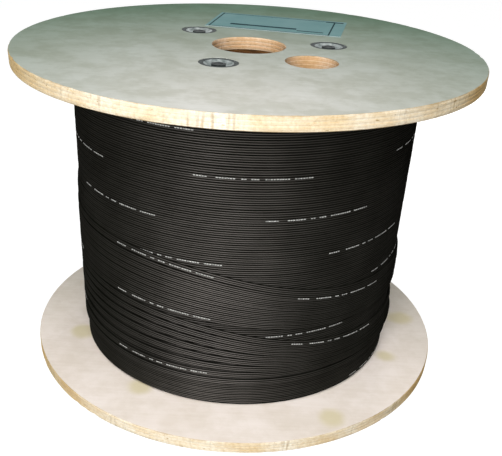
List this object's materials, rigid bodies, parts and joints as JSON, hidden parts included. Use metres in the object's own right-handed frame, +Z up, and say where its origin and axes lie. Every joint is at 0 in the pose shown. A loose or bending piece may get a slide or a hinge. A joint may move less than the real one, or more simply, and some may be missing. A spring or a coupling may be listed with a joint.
{
  "type": "drum of fibre optic cable",
  "caption": "Plywood cable drum standing on one flange, wound with black flat fibre optic drop cable, with an arbor hole, a drive hole and tie rods in dished washers.",
  "frame": {"origin": "centre of the drum's base, on the floor that the bottom flange stands on", "axes": "+Z up along the drum's axis, -Y towards the viewer of the picture, +X to the viewer's right"},
  "size_m": [0.35, 0.35, 0.2492],
  "materials": {
    "plywood": "matte",
    "fibreboard": "matte",
    "cable_sheath": "satin",
    "label_paper": "matte",
    "zinc_steel": "satin"
  },
  "bodies": {
    "root": {"top_flange": "plywood", "bottom_flange": "plywood", "top_hub_disc": "plywood", "bottom_hub_disc": "plywood", "core_tube": "fibreboard", "cable_winding": "cable_sheath", "label": "label_paper", "tie_rod_1": "zinc_steel", "top_washer_1": "zinc_steel", "top_nut_1": "zinc_steel", "bottom_washer_1": "zinc_steel", "bottom_nut_1": "zinc_steel", "tie_rod_2": "zinc_steel", "top_washer_2": "zinc_steel", "top_nut_2": "zinc_steel", "bottom_washer_2": "zinc_steel", "bottom_nut_2": "zinc_steel", "tie_rod_3": "zinc_steel", "top_washer_3": "zinc_steel", "top_nut_3": "zinc_steel", "bottom_washer_3": "zinc_steel", "bottom_nut_3": "zinc_steel"}
  },
  "joints": []
}
